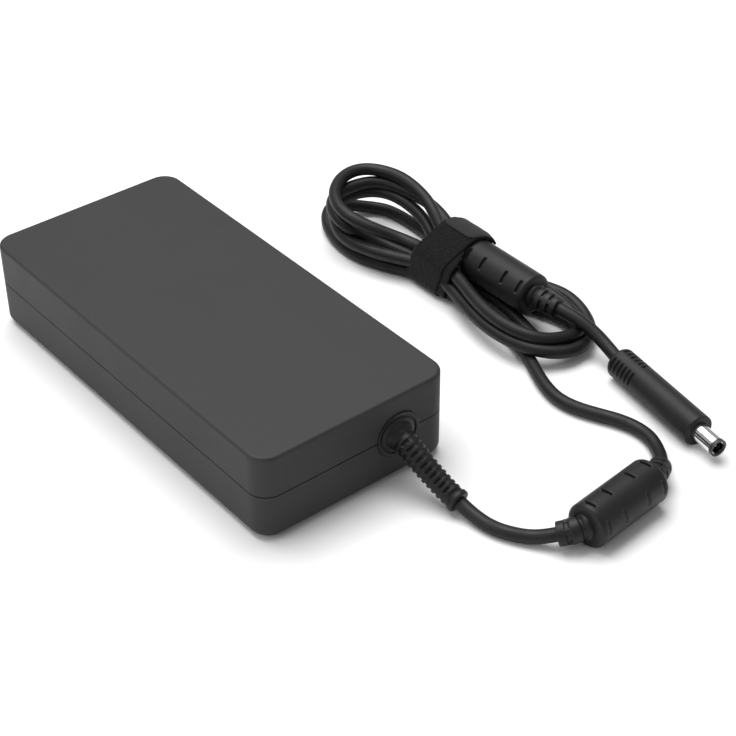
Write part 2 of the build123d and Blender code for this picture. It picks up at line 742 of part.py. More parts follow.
def cord_hank():
    """The coiled part of the cord as one solid: two lobes joined through the strap."""
    strap_zone = strap_slab(STRAP_WIDTH / 2 + CLEAR)
    far = lobe(FAR_LOBE, FAR_PROFILE) + lobe(FLOOR_LOBE, FLOOR_PROFILE)
    bundle = (far + lobe(NEAR_LOBE, NEAR_PROFILE)) - strap_zone
    waist = along_y(hull_section(-CLEAR), -45, 35) & strap_slab(STRAP_WIDTH / 2 + 3)
    bundle += waist
    x, z = BEAD_2_ENDS[0][0], BEAD_2_ENDS[0][2]
    room = rod((x, BEAD_2_ENDS[0][1] + CLEAR, z), (x, BEAD_2_ENDS[1][1] - CLEAR, z), BEAD_D / 2 + CLEAR)
    room += rod((x, BEAD_2_ENDS[0][1], z), (x, TAIL[0][1], z), 5.0 + CLEAR)
    room += swept(TAIL[3:], NECK_ROOM)
    return max((bundle - room).solids(), key=lambda solid: solid.volume)


def lead_and_tail(hank):
    """The uncoiled stretches of the cord, cut where they meet the hank."""
    lead = max((swept(LEAD, CORD_D / 2) - hank).solids(), key=lambda solid: solid.volume)
    tail = max((swept(TAIL, CORD_D / 2) - hank).solids(), key=lambda solid: solid.volume)
    return lead, tail


os.makedirs("parts", exist_ok=True)

save("top_cover", top_cover())
save("bottom_cover", bottom_cover())
save("rubber_feet", rubber_feet())
save("rating_label", rating_label())

save("ac_inlet_housing", ac_inlet_housing())
PINS = pin_places()
for pin_name, pin_place, wire_y in zip(("line", "neutral", "earth"), PINS, (59.5, 57.0, 58.0)):
    save(f"ac_{pin_name}_pin", inlet_pin(pin_place))
    save(f"ac_{pin_name}_wire", ac_wire(pin_place, wire_y))

save("main_board", main_board())
save("board_screws", board_screws())
save("fuse", fuse())
save("varistor", varistor())
save("common_mode_choke_core", choke_core(CM_CHOKE))
save("common_mode_choke_windings", choke_winding(CM_CHOKE, ((20, 140), (200, 140))))
save("x_capacitor", x_capacitor())
save("y_capacitors", y_capacitors())
save("bridge_rectifier", bridge_rectifier())
save("input_choke_core", input_choke_core())
save("input_choke_winding", input_choke_winding())
save("bulk_capacitors", bulk_capacitors())
save("primary_heatsink", heatsink(PRIMARY_SINK))
save("primary_transistors", transistors(PRIMARY_SINK))
save("secondary_heatsink", heatsink(SECONDARY_SINK))
save("secondary_transistors", transistors(SECONDARY_SINK))
save("heatsink_screws", heatsink_screws())
save("thermal_pads", thermal_pads())
save("transformer_core", transformer_core())
save("transformer_bobbin", transformer_bobbin())
save("transformer_winding", transformer_winding())
save("output_choke_core", choke_core(OUT_CHOKE))
save("output_choke_winding", choke_winding(OUT_CHOKE, ((15, 110), (135, 110), (255, 100))))
save("output_capacitors", output_capacitors())
save("control_board", control_board())
save("control_chips", control_chips())
save("optocouplers", optocouplers())
save("lower_heat_spreader", lower_plate(SPREADER, FLOOR_Z, SHIELD_T))
save("lower_insulation_sheet", lower_plate((77.0, 168.0), FLOOR_Z + SHIELD_T, SHEET_T))
save("upper_heat_spreader", plate(SPREADER, CEILING_Z - SHIELD_T, SHIELD_T))
save("upper_insulation_sheet", plate((77.0, 168.0), UPPER_SHIELD_Z, SHEET_T))

save("dc_positive_wire", dc_wire(EXIT_X + 1.3, -76.0, PARTING_Z, 1.0))
save("dc_negative_wire", dc_wire(EXIT_X - 1.3, -80.0, PARTING_Z, 1.0))
save("dc_signal_wire", dc_wire(EXIT_X, -73.0, PARTING_Z + 1.8, 0.6))

HANK = cord_hank()
CORD_LEAD, CORD_TAIL = lead_and_tail(HANK)
save("dc_strain_relief", dc_strain_relief())
save("cord_lead", CORD_LEAD)
save("cord_hank", HANK)
save("cord_tail", CORD_TAIL)
save("bead_1_cover", bead_cover(LEAD, BEAD_1_ENDS, (11.0, 12.0)))
save("bead_1_core", bead_core(BEAD_1_ENDS))
save("bead_2_cover", bead_cover(TAIL, BEAD_2_ENDS, (8.0, 9.0)))
save("bead_2_core", bead_core(BEAD_2_ENDS))
save("plug_body", plug_body())
save("plug_barrel", plug_barrel())
save("plug_insulator", plug_insulator())
save("plug_inner_sleeve", plug_inner_sleeve())
save("plug_centre_pin", plug_centre_pin())
save("strap_band", strap_band())
save("strap_tab", strap_tab())

report_cord("lead", LEAD)
report_cord("tail", TAIL)
print("tab pivot x, z:", [round(v, 2) for v in tab_pivot()])
print("plug body length:", round(PLUG_BODY, 2))
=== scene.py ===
"""Looks of a laptop power adapter: its cord, strap, mouldings, materials, light and camera."""

import json
import math

import bpy
import numpy as np
from mathutils import Matrix, Vector, noise


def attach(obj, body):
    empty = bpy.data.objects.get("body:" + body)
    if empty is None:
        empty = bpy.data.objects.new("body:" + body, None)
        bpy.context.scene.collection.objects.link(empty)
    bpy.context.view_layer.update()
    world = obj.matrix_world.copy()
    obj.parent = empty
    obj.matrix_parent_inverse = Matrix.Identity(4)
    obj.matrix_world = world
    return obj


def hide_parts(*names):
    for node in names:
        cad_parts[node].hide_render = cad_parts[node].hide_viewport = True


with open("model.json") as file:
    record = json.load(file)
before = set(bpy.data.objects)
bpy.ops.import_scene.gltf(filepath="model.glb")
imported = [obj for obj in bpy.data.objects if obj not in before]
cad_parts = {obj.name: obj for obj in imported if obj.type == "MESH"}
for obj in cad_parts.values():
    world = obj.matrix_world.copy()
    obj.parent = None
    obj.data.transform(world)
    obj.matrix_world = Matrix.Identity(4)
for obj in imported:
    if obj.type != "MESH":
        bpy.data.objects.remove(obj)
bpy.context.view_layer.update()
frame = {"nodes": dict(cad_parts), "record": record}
NODES = frame["nodes"]
SCENE = bpy.context.scene
MM = 0.001

# ---- camera ----
CAMERA_PLACE = (-0.3186, -0.4989, 0.4470)
CAMERA_RIGHT = (0.7781, -0.6281, -0.0066)
CAMERA_DOWN = (-0.3810, -0.4637, -0.7999)
CAMERA_FORWARD = (0.4993, 0.6249, -0.6001)
LENS = 88.8
SENSOR_WIDTH = 36.0
CLIP_START = 0.02


def make_camera():
    """The main view, with its small roll."""
    data = bpy.data.cameras.new("camera")
    data.lens = LENS
    data.sensor_width = SENSOR_WIDTH
    data.clip_start = CLIP_START
    camera = bpy.data.objects.new("camera", data)
    SCENE.collection.objects.link(camera)
    axes = (Vector(CAMERA_RIGHT), -Vector(CAMERA_DOWN), -Vector(CAMERA_FORWARD))
    turn = Matrix([[axis[row] for axis in axes] for row in range(3)])
    turn = turn.to_quaternion().normalized().to_matrix().to_4x4()
    camera.matrix_world = Matrix.Translation(CAMERA_PLACE) @ turn
    SCENE.camera = camera


make_camera()

# ---- the cord's route, in mm, with the points that part.py has outside the hank ----
LEAD = [
    (19.0, -88.0, 20.8), (19.0, -96.5, 20.2), (19.6, -104.6, 15.9), (21.0, -111.8, 11.2),
    (22.4, -118.8, 7.2), (23.4, -126.2, 4.6), (23.9, -133.6, 3.2), (25.1, -141.0, 2.8),
    (28.2, -148.0, 2.9), (32.6, -154.6, 3.4), (38.4, -161.4, 6.4), (46.5, -166.7, 8.9),
    (63.0, -165.2, 9.0), (80.0, -163.3, 9.0), (89.5, -160.8, 7.8), (97.4, -155.9, 4.6),
    (103.4, -149.0, 2.8), (107.2, -141.0, 2.9), (107.6, -132.5, 2.8), (105.1, -124.5, 2.9),
    (101.3, -116.8, 2.8), (97.7, -108.8, 2.9), (96.4, -100.0, 2.8), (98.2, -91.2, 2.9),
    (101.5, -83.0, 2.8), (105.2, -75.0, 2.9), (108.6, -66.5, 2.8),
]
HANK = [
    # in along the near side, under the others
    (111.0, -57.0, 2.8), (112.3, -46.0, 2.8), (112.6, -34.0, 2.8), (112.0, -22.0, 3.0),
    (111.2, -12.0, 4.2), (110.8, -3.0, 4.4), (109.4, 5.0, 3.8),
    # lowest far loop
    (106.8, 12.0, 3.0), (102.8, 20.5, 2.8), (99.6, 30.5, 2.8), (99.2, 41.0, 2.8), (101.2, 51.3, 3.0),
    (105.0, 60.5, 4.0), (110.5, 66.5, 5.8), (117.5, 66.8, 6.0), (124.2, 62.6, 4.2), (130.0, 58.8, 3.0),
    (133.9, 53.3, 2.8), (135.5, 45.0, 2.8), (135.5, 34.0, 2.8), (134.6, 21.0, 3.4), (133.0, 8.0, 4.4),
    # outermost near loop
    (132.3, -3.0, 4.6), (133.3, -14.0, 4.7), (136.0, -24.0, 4.8), (139.6, -34.0, 5.6),
    (143.2, -44.5, 6.9), (145.5, -54.0, 6.8), (144.8, -63.5, 5.4), (141.0, -72.5, 4.4),
    (135.2, -79.3, 4.4), (128.0, -83.0, 5.2), (120.5, -83.8, 6.1), (113.6, -81.6, 7.0),
    (108.2, -77.0, 7.8), (104.4, -69.5, 8.2), (102.6, -61.0, 8.3), (102.4, -51.5, 8.3),
    (103.9, -41.0, 8.3), (107.0, -29.0, 8.4), (109.8, -17.0, 9.1),
    # second far loop
    (110.8, -5.0, 9.9), (109.3, 2.5, 10.2), (105.8, 8.8, 10.2), (101.9, 15.8, 10.4), (98.9, 24.5, 10.2),
    (97.8, 33.5, 9.3), (98.6, 41.8, 9.2), (101.1, 48.8, 10.6), (105.4, 55.6, 12.3), (111.6, 59.6, 13.4),
    (119.0, 59.4, 14.0), (126.9, 56.6, 14.0), (131.8, 50.8, 14.0), (134.2, 42.5, 13.4),
    (134.6, 32.5, 12.0), (133.0, 23.0, 10.2), (129.6, 14.0, 7.6), (126.0, 5.0, 5.2),
    # inner near loop
    (124.0, -4.0, 4.6), (124.4, -14.0, 4.4), (127.0, -26.0, 3.2), (130.2, -38.0, 2.8),
    (133.0, -48.0, 2.8), (135.6, -57.5, 2.8), (136.4, -65.5, 2.8), (133.4, -72.4, 2.8),
    (127.0, -75.6, 2.8), (120.2, -74.2, 3.2), (116.4, -68.6, 4.2), (116.8, -61.0, 5.0),
    (118.9, -52.0, 5.5), (120.6, -43.0, 5.5), (121.2, -33.0, 5.5), (120.6, -23.0, 5.2),
    (118.8, -13.0, 4.7),
    # third far loop
    (117.4, -3.0, 4.6), (117.0, 8.0, 4.6), (114.2, 19.0, 5.2), (109.6, 27.8, 7.2), (104.0, 32.8, 10.6),
    (99.6, 37.0, 14.6), (98.3, 43.0, 16.8), (100.2, 50.0, 17.6), (104.8, 55.8, 18.2), (111.0, 58.4, 18.8),
    (119.0, 58.2, 19.0), (126.8, 56.2, 19.0), (132.0, 50.8, 19.0), (135.0, 44.2, 18.4),
    (136.6, 34.5, 18.0), (137.3, 25.0, 17.4), (136.4, 14.5, 15.2), (133.8, 5.0, 11.6),
    # upper near loop
    (133.1, -6.0, 10.3), (134.4, -17.0, 10.6), (136.2, -28.0, 11.0), (137.6, -40.0, 10.6),
    (138.0, -52.0, 9.8), (137.6, -63.0, 8.8), (135.4, -72.0, 7.9), (131.0, -77.2, 7.6),
    (125.2, -78.8, 8.8), (117.8, -77.9, 10.0), (111.4, -75.4, 11.2), (107.2, -70.6, 12.4),
    (104.4, -62.6, 13.3), (104.0, -52.0, 13.5), (106.6, -38.5, 13.5), (110.2, -27.0, 13.8),
    (112.4, -16.0, 14.8),
    # top far loop
    (113.0, -5.0, 15.3), (113.6, 5.0, 14.8), (111.6, 13.6, 15.0), (107.2, 19.6, 17.0),
    (101.6, 26.6, 19.8), (98.0, 36.2, 22.0), (99.2, 45.6, 23.2), (104.0, 53.2, 24.0),
    (111.4, 59.0, 24.3), (118.2, 61.3, 24.4), (124.2, 60.8, 24.4), (129.0, 57.4, 24.4),
    (132.8, 51.0, 24.3), (135.2, 44.0, 23.8), (135.8, 35.0, 22.6), (135.0, 25.6, 20.6),
    (131.8, 16.0, 18.6), (127.2, 7.0, 17.5),
]
TAIL = [
    (124.3, -2.0, 17.1), (124.3, -14.0, 17.0), (124.45, -31.0, 17.0), (124.3, -49.0, 17.0),
    (125.0, -60.0, 16.6), (127.3, -69.5, 15.6), (129.8, -78.0, 13.6), (131.3, -86.0, 10.7),
    (131.0, -94.0, 7.9), (129.6, -101.0, 6.7), (128.2, -108.4, 6.6),
]
CORD_D = 5.6


def make_cord():
    """The cord's curve, and the points along its line, in mm."""
    points = LEAD + HANK + TAIL
    data = bpy.data.curves.new("power_cord", "CURVE")
    data.dimensions = "3D"
    spline = data.splines.new("NURBS")
    spline.points.add(len(points) - 1)
    for point, place in zip(spline.points, points):
        point.co = (*(v * MM for v in place), 1.0)
    spline.order_u = 3
    spline.use_endpoint_u = True
    spline.resolution_u = 10
    spline.use_smooth = True
    cord = bpy.data.objects.new("power_cord", data)
    SCENE.collection.objects.link(cord)
    bpy.context.view_layer.update()
    line = bpy.data.meshes.new_from_object(cord)
    places = np.array([v.co for v in line.vertices], float) / MM
    bpy.data.meshes.remove(line)
    data.bevel_depth = CORD_D / 2 * MM
    data.bevel_resolution = 7
    data.use_fill_caps = True
    return cord, places


class Line:
    """A smooth line in mm, read by the distance along it."""

    def __init__(self, places):
        self.places = np.array(places, float)
        steps = np.linalg.norm(np.diff(self.places, axis=0), axis=1)
        self.along = np.concatenate([[0.0], np.cumsum(steps)])
        self.length = self.along[-1]

    def at(self, distance):
        """The point at a distance, also a little beyond either end."""
        point = np.array([np.interp(distance, self.along, self.places[:, i]) for i in range(3)])
        if distance < 0:
            point += (self.places[1] - self.places[0]) / self.along[1] * distance
        if distance > self.length:
            ahead = self.places[-1] - self.places[-2]
            point += ahead / np.linalg.norm(ahead) * (distance - self.length)
        return point

    def axes(self, distance):
        """Unit tangent, side and up at a distance, with up as near to +Z as can be."""
        step = 0.6
        tangent = self.at(distance + step) - self.at(distance - step)
        tangent /= np.linalg.norm(tangent)
        side = np.cross(tangent, (0.0, 0.0, 1.0))
        side /= np.linalg.norm(side)
        return tangent, side, np.cross(side, tangent)

    def nearest(self, place):
        """Distance along the line to its nearest point to a place."""
        gaps = np.linalg.norm(self.places - np.array(place, float), axis=1)
        return self.along[int(np.argmin(gaps))]


CORD, CORD_PLACES = make_cord()
CORD_LINE = Line(CORD_PLACES)


# ---- meshes ----
def add_mesh(name, vertices, faces):
    """A smooth-shaded object from vertices in mm."""
    mesh = bpy.data.meshes.new(name)
    mesh.from_pydata([tuple(float(v) * MM for v in place) for place in vertices], [], faces)
    mesh.validate()
    mesh.polygons.foreach_set("use_smooth", [True] * len(mesh.polygons))
    mesh.update()
    piece = bpy.data.objects.new(name, mesh)
    SCENE.collection.objects.link(piece)
    return piece


def loft(line, rows, count, dent=None, turn=0.0, web_half=0.21):
    """Vertices and faces of a round body along a line.

    A row is (distance, radius in the slots, radius at the webs). dent(distance, angle) is a depth to
    take off, turn rolls the webs round the line and web_half is half the angle of each web."""
    vertices = []
    angles = [2 * math.pi * i / count for i in range(count)]
    for distance, low, high in rows:
        centre = line.at(distance)
        _, side, up = line.axes(distance)
        for angle in angles:
            radius = low + (high - low) * web(angle - turn, web_half)
            if dent:
                radius -= dent(distance, angle)
            vertices.append(centre + radius * (math.cos(angle) * side + math.sin(angle) * up))
    faces = []
    for i in range(len(rows) - 1):
        for j in range(count):
            k = (j + 1) % count
            faces.append((i * count + j, i * count + k, (i + 1) * count + k, (i + 1) * count + j))
    last = (len(rows) - 1) * count
    faces.append(tuple(reversed(range(count))))
    faces.append(tuple(last + j for j in range(count)))
    return vertices, [tuple(reversed(face)) for face in faces]


def smoothstep(low, high, value):
    """0 below low, 1 above high."""
    share = min(1.0, max(0.0, (value - low) / (high - low)))
    return share * share * (3 - 2 * share)


WEB_EDGE = 0.12           # angle over which a web falls away to its slot


def web(angle, half):
    """1 on the four webs between the rows of slots, which lie on the diagonals."""
    off = abs((angle + math.pi / 4) % (math.pi / 2) - math.pi / 4)
    return smoothstep(math.pi / 4 - half - WEB_EDGE, math.pi / 4 - half, off)


# between two ribs: where the slot's wall starts and ends, and how far the webs lie below the ribs
WALL_TOP = 0.04
WALL_FOOT = 0.16
WALL_EASE = 0.12
WEB_SINK = 0.2
WEB_SINK_AT_WALL = 0.18


RIB_EASE = 0.28
RIB_STEPS = 5


def ribs(start, end, count, root_r, tip_r, depth, rib_share):
    """Rows of rounded ribs with slots between them, from start to end along a line.

    The radius goes from root_r to tip_r, depth is the slots' own, and rib_share is the part of each pitch
    that is rib."""
    rows = []
    pitch = (end - start) / count
    sign = 1 if end > start else -1
    for i in range(count):
        low = start + i * pitch
        high = low + pitch * rib_share
        radius = root_r + (tip_r - root_r) * i / max(1, count - 1)
        turns = [math.pi / 2 * step / (RIB_STEPS - 1) for step in range(RIB_STEPS)]
        for turn in turns:
            inset = RIB_EASE * (1 - math.sin(turn))
            rows.append((low + sign * RIB_EASE * (1 - math.cos(turn)), radius - inset, radius - inset * 0.5))
        for turn in turns:
            inset = RIB_EASE * (1 - math.cos(turn))
            rows.append((high - sign * RIB_EASE * (1 - math.sin(turn)), radius - inset, radius - inset * 0.5))
        if i < count - 1:
            following = low + pitch
            floor = radius - depth
            rows.append((high + sign * WALL_TOP, floor + WALL_EASE, radius - WEB_SINK_AT_WALL))
            rows.append((high + sign * WALL_FOOT, floor, radius - WEB_SINK))
            rows.append((following - sign * WALL_FOOT, floor, radius - WEB_SINK))
            rows.append((following - sign * WALL_TOP, floor + WALL_EASE, radius - WEB_SINK_AT_WALL))
    return rows


def plain(rows):
    """Rows that are the same all round."""
    return [(distance, radius, radius) for distance, radius in rows]


def rounded(radius, ease):
    """Distances and radii of a rounded edge at the start of a line."""
    turns = np.linspace(0.0, math.pi / 2, 7)
    return [(ease * (1 - math.cos(turn)), radius - ease * (1 - math.sin(turn))) for turn in turns]


def rounded_end(length, radius, ease):
    """The same at the end of a line of that length."""
    return [(length - distance, r) for distance, r in reversed(rounded(radius, ease))]


def merged(parts):
    """Several shells as one list of vertices and one of faces."""
    vertices, faces = [], []
    for more, links in parts:
        base = len(vertices)
        vertices += list(more)
        faces += [tuple(base + i for i in face) for face in links]
    return vertices, faces


INSIDE_R = 2.3            # where a sleeve's end is closed, inside the cord


# ---- strain relief at the case ----
FACE_Y = -94.0
EXIT = (19.0, FACE_Y, 20.8)
COLLAR_START = (EXIT[0], FACE_Y + 2.0, EXIT[2])
COLLAR_AHEAD = (EXIT[0], FACE_Y - 6.0, EXIT[2])
COLLAR_R = 9.85
COLLAR_EASE = 0.4
COLLAR_FRONT = 2.6        # the collar's front, from its start
SLEEVE_START = (19.0, -94.6, 20.3)
SLEEVE_TIP = (23.25, -124.3, 5.3)
SLEEVE_RIBS = 11


def make_collar():
    """Round collar with a ring groove in its front, and a cone up to the sleeve."""
    front = COLLAR_FRONT
    inner = COLLAR_R - COLLAR_EASE
    rows = [(0.0, INSIDE_R), (0.0, COLLAR_R)]
    for turn in np.linspace(0, math.pi / 2, 6):
        rows.append((front - COLLAR_EASE * (1 - math.sin(turn)), inner + COLLAR_EASE * math.cos(turn)))
    rows += [(front, 8.35), (front - 0.1, 8.25), (front - 0.42, 8.2), (front - 0.42, 7.62)]
    rows += [(front - 0.1, 7.55), (front, 7.45), (front, 6.2), (front + 0.12, 5.9), (front + 0.7, 5.55)]
    rows += [(front + 1.2, 5.4), (front + 1.2, INSIDE_R)]
    return loft(Line([COLLAR_START, COLLAR_AHEAD]), plain(rows), 96)


def make_sleeve():
    """Slotted sleeve along the cord, with a plain ring at its tip."""
    start = CORD_LINE.nearest(SLEEVE_START)
    end = CORD_LINE.nearest(SLEEVE_TIP)
    rows = plain([(start - 1.0, INSIDE_R), (start - 1.0, 6.6), (start + 0.6, 6.3), (start + 1.3, 5.75)])
    rows += plain([(start + 2.2, 5.35), (start + 3.2, 5.2)])
    rows += ribs(start + 3.6, end - 3.0, SLEEVE_RIBS, 5.0, 4.55, 1.15, 0.55)
    rows += plain([(end - 2.9, 4.25), (end - 2.5, 4.2), (end - 2.4, 4.4), (end - 2.3, 4.6), (end - 2.0, 4.8)])
    rows += plain([(end - 0.6, 4.8), (end - 0.25, 4.7), (end, 4.4), (end, 3.4), (end, INSIDE_R)])
    return loft(CORD_LINE, rows, 96, turn=math.radians(52.0), web_half=0.37)


def make_relief():
    """Collar and sleeve, as one moulding."""
    return add_mesh("strain_relief", *merged([make_collar(), make_sleeve()]))


# ---- suppression beads ----
BEAD_1_ENDS = ((46.3, -166.8, 9.0), (83.7, -162.9, 9.0))
BEAD_2_ENDS = ((124.3, -18.4, 17.0), (124.3, -56.0, 17.0))
BEAD_R = 9.0
BEAD_EASE = 1.7
NOTCHES = (2.9, 12.0, 25.3, 34.4)                   # along the bead
NOTCH_EDGES = (-0.8, -0.74, -0.68, 0.68, 0.74, 0.8)
NOTCH_ROWS = ((0.0, 1.3, 0.29), (-1.4, 0.3, 0.27))  # angle from the bead's roll, depth, half angle
NOTCH_SIDE = 0.05                                   # angle over which a notch's ends slope
MOULD_LINE = 0.06                                   # height of the line where the mould's halves met


def bead_dent(roll):
    """Depth of the notches, less the height of the faint mould line."""
    def dent(distance, angle):
        deep = 0.0
        for turn, depth, half in NOTCH_ROWS:
            off = abs((angle - (roll + turn) + math.pi) % (2 * math.pi) - math.pi)
            across = 1 - smoothstep(half, half + NOTCH_SIDE, off)
            for place in NOTCHES:
                along = 1 - smoothstep(NOTCH_EDGES[3], NOTCH_EDGES[5], abs(distance - place))
                deep = max(deep, depth * across * along)
        off_line = abs((angle - roll) % math.pi - math.pi / 2)
        return deep - MOULD_LINE * (1 - smoothstep(0.01, 0.035, off_line))
    return dent


def bead_neck(place, sign, reach, count, root_r, tip_r):
    """Ribbed neck on the cord from the bead's end at a place, ahead along the cord or, with sign -1, back."""
    start = CORD_LINE.nearest(place)
    rows = plain([(start - sign * 2.0, INSIDE_R), (start - sign * 2.0, root_r)])
    rows += plain([(start + sign * 0.3, root_r + 0.5), (start + sign * 0.9, root_r)])
    rows += plain([(start + sign * 1.3, root_r - 0.3), (start + sign * 1.4, root_r - 1.0)])
    rows += ribs(start + sign * 2.6, start + sign * reach, count, root_r, tip_r, 1.15, 0.62)
    tip = rows[-1][0]
    rows += plain([(tip + sign * 0.03, 3.5), (tip + sign * 0.06, INSIDE_R)])
    if sign < 0:
        rows.reverse()
    return loft(CORD_LINE, rows, 96)


def make_bead(name, ends, roll, rear, front):
    """Round-ended barrel, with a ribbed neck at each end that follows the cord.

    rear and front are (length, ribs, root radius, tip radius); roll is where its first notches are."""
    axis = Line(ends)
    length = axis.length
    rows = [(0.0, INSIDE_R), (0.0, 4.6), (0.0, 6.0)] + rounded(BEAD_R, BEAD_EASE)
    steps = set(np.linspace(BEAD_EASE + 0.2, length - BEAD_EASE - 0.2, 60))
    steps |= {place + edge for place in NOTCHES for edge in NOTCH_EDGES}
    rows += [(step, BEAD_R) for step in sorted(steps)]
    rows += rounded_end(length, BEAD_R, BEAD_EASE)
    rows += [(length, 6.0), (length, 4.6), (length, INSIDE_R)]
    barrel = loft(axis, plain(rows), 160, bead_dent(roll))
    necks = [bead_neck(ends[0], -1, *rear), bead_neck(ends[1], 1, *front)]
    return add_mesh(name, *merged([barrel, *necks]))


RELIEF = make_relief()
BEAD_1 = make_bead("bead_1", BEAD_1_ENDS, math.radians(100.0), (12.0, 2, 5.0, 4.7), (14.0, 3, 5.0, 4.6))
BEAD_2 = make_bead("bead_2", BEAD_2_ENDS, math.radians(40.0), (8.5, 2, 4.9, 4.5), (13.0, 3, 5.0, 4.6))


# ---- plug body ----
PLUG_REAR = (129.3, -101.5, 6.6)
PLUG_FRONT = (120.9, -152.7, 6.6)
PLUG_R = 6.6
PLUG_SLOTS = (2.2, 4.6, 7.0, 9.4, 11.8, 14.2)  # from the rear
PLUG_SLOT_DEPTH = 1.1
PLUG_SLOT_LIP = 0.15
BARREL_R = 3.75


def make_plug():
    """Round grip with four rows of slots near the cord, and a bore that the barrel comes out of."""
    axis = Line((PLUG_REAR, PLUG_FRONT))
    length = axis.length
    lip, floor = PLUG_R - PLUG_SLOT_LIP, PLUG_R - PLUG_SLOT_DEPTH
    rows = plain([(3.0, INSIDE_R), (3.0, 2.7), (0.0, 2.9)] + rounded(PLUG_R, 1.6))
    for place in PLUG_SLOTS:
        rows += [(place, PLUG_R, PLUG_R), (place + 0.12, lip, PLUG_R), (place + 0.2, floor, PLUG_R)]
        rows += [(place + 1.0, floor, PLUG_R), (place + 1.08, lip, PLUG_R), (place + 1.2, PLUG_R, PLUG_R)]
    rows += plain([(step, PLUG_R) for step in np.linspace(16.0, length - 1.0, 12)])
    rows += plain(rounded_end(length, PLUG_R, 0.5))
    rows += plain([(length, 4.1), (length - 0.03, BARREL_R)])
    rows += plain([(length - 2.0, BARREL_R), (length - 2.0, 3.72)])
    return add_mesh("plug_grip", *loft(axis, rows, 128, turn=math.radians(26.0), web_half=0.3))


PLUG = make_plug()

# ---- strap ----
# circles, as x, z and radius, that stand for the cords and the bead that it goes round
STRAP_CORE = ((124.3, 17.0, 9.25), (111.4, 5.4, 3.8), (113.0, 15.0, 4.6), (133.0, 6.2, 4.6))
STRAP_BASE_Y = -3.0
STRAP_LEAN = -0.27
STRAP_WIDTH = 20.0
STRAP_T = 1.6
STRAP_FOOT = 0.05         # nothing of the band lies lower than this
INNER_LAYER = (0.05, 0.95)  # gap inside it, and thickness
OUTER_LAYER = (1.02, 0.75)
CREEP = 4.4               # how far the inner layer shows past the outer one, on the side toward the case
PILE = 0.05               # roughness of the outer face
TAB_ANGLES = (21.0, 106.0)
TAB_T = 1.0
TAB_GAP = 0.15
TAB_CORNER = 2.0
TAB_SKEW = 3.4            # how far its fixed end lies nearer the plug
TAB_DROOP = 0.9           # how far it sinks where it hangs past the band


def outline(grow):
    """Convex outline round the strap's circles in X and Z, as evenly spaced points and outward normals."""
    cloud = []
    for x, z, r in STRAP_CORE:
        for i in range(360):
            turn = math.radians(i)
            cloud.append((x + (r + grow) * math.cos(turn), z + (r + grow) * math.sin(turn)))
    cloud = sorted(set(cloud))

    def half(points):
        chain = []
        for p in points:
            while len(chain) > 1:
                (ax, az), (bx, bz) = chain[-2], chain[-1]
                if (bx - ax) * (p[1] - az) - (bz - az) * (p[0] - ax) > 0:
                    break
                chain.pop()
            chain.append(p)
        return chain[:-1]

    loop = np.array(half(cloud) + half(cloud[::-1]) + [cloud[0]])
    steps = np.concatenate([[0.0], np.cumsum(np.linalg.norm(np.diff(loop, axis=0), axis=1))])
    at = np.linspace(0.0, steps[-1], 300, endpoint=False)
    even = np.column_stack([np.interp(at, steps, loop[:, i]) for i in range(2)])
    ahead = np.roll(even, -2, axis=0) - np.roll(even, 2, axis=0)
    ahead /= np.linalg.norm(ahead, axis=1)[:, None]
    return even, np.column_stack([ahead[:, 1], -ahead[:, 0]]), at


def layer_section(width, thick, columns):
    """Outline of one layer of tape: (across, height), with rounded edges."""
    half = width / 2
    ease = thick / 2
    points = [(v, thick) for v in np.linspace(-half + ease, half - ease, columns)]
    turns = (0.9, 0.3, -0.3, -0.9)
    points += [(half - ease + ease * math.cos(t), ease + ease * math.sin(t)) for t in turns]
    points += [(v, 0.0) for v in np.linspace(half - ease, -half + ease, columns // 2)]
    points += [(-half + ease - ease * math.cos(t), ease + ease * math.sin(t)) for t in reversed(turns)]
    return points


def ruffle(x, y, z, size, seed):
    """Smooth noise from -1 to 1 at a place in mm."""
    return noise.noise(Vector((x / size + seed, y / size - seed, z / size + 2 * seed)))


def band_layer(low, thick, seed, columns, pile=0.0, creep=0.0):
    """One closed ring of tape round the hank, with uneven edges and, given a pile, a rough outer face.

    low is the gap inside it, seed and columns set its unevenness and its fineness, and
    creep is how far it shows past the other layer where the tape went round askew."""
    even, normals, along = outline(low)
    section = layer_section(STRAP_WIDTH, thick, columns)
    vertices = []
    for (x, z), (nx, nz), distance in zip(even, normals, along):
        turn = 2 * math.pi * distance / (along[-1] + along[1])
        cx, cz = 3 * math.cos(turn), 3 * math.sin(turn)
        shift = 0.35 * ruffle(cx, cz, 0, 2.2, seed)
        swell = 0.12 * ruffle(cx, 0, cz, 1.6, seed + 5)
        for across, height in section:
            edge = abs(across) / (STRAP_WIDTH / 2)
            rough = 0.0
            if pile and height >= thick:
                rough = pile * (ruffle(x, across, z, 0.8, seed) + 0.6 * ruffle(x, across, z, 0.35, seed + 3))
            lift = height + swell + rough - 0.1 * edge ** 6
            y = STRAP_BASE_Y + STRAP_LEAN * z + across + shift * edge ** 2
            y -= creep * (1 - smoothstep(107.0, 122.0, x))
            vertices.append((x + nx * lift, y, max(STRAP_FOOT, z + nz * lift)))
    size = len(section)
    faces = []
    for i in range(len(even)):
        k = (i + 1) % len(even)
        for j in range(size):
            m = (j + 1) % size
            faces.append((i * size + j, i * size + m, k * size + m, k * size + j))
    return vertices, faces


def make_band():
    """Two layers of hook and loop tape."""
    inner = band_layer(*INNER_LAYER, 11.0, 24, creep=CREEP)
    outer = band_layer(*OUTER_LAYER, 23.0, 90, pile=PILE)
    return add_mesh("strap_band_tape", *merged([inner, outer]))


